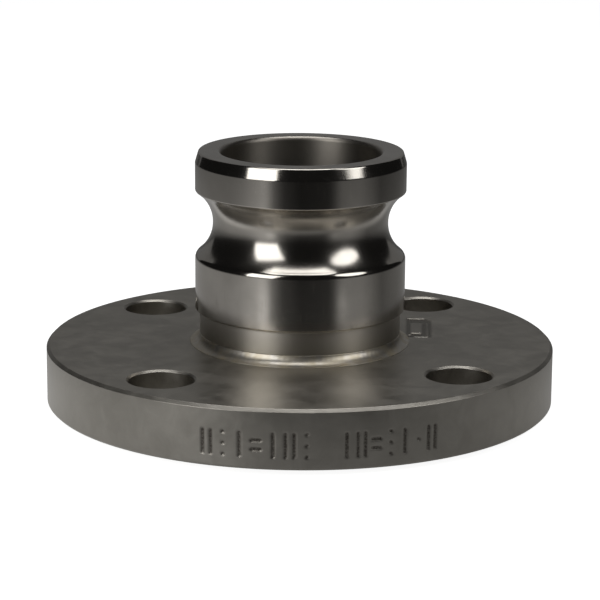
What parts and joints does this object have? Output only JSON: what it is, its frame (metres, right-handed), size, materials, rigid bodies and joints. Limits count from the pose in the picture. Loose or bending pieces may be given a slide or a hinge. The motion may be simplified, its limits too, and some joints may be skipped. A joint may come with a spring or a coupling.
{
  "type": "flanged cam-and-groove adapter",
  "caption": "Short male cam-and-groove spigot with a round-section groove and a through bore, welded into a round pipe flange with a ring of bolt holes.",
  "frame": {"origin": "on the flow axis, at the raised sealing face of the flange", "axes": "+Z along the flow axis, from the flange towards the nose of the spigot; +X and +Y are the flange's two centre lines, which the bolt holes straddle"},
  "size_m": [0.1524, 0.1524, 0.0771],
  "materials": {
    "turned_stainless": "fine turned and polished",
    "pickled_flange_steel": "satin, pickled",
    "weld_metal": "dressed weld"
  },
  "bodies": {
    "root": {"cam_spigot": "turned_stainless", "flange": "pickled_flange_steel", "outer_fillet_weld": "weld_metal", "inner_fillet_weld": "weld_metal"}
  },
  "joints": []
}
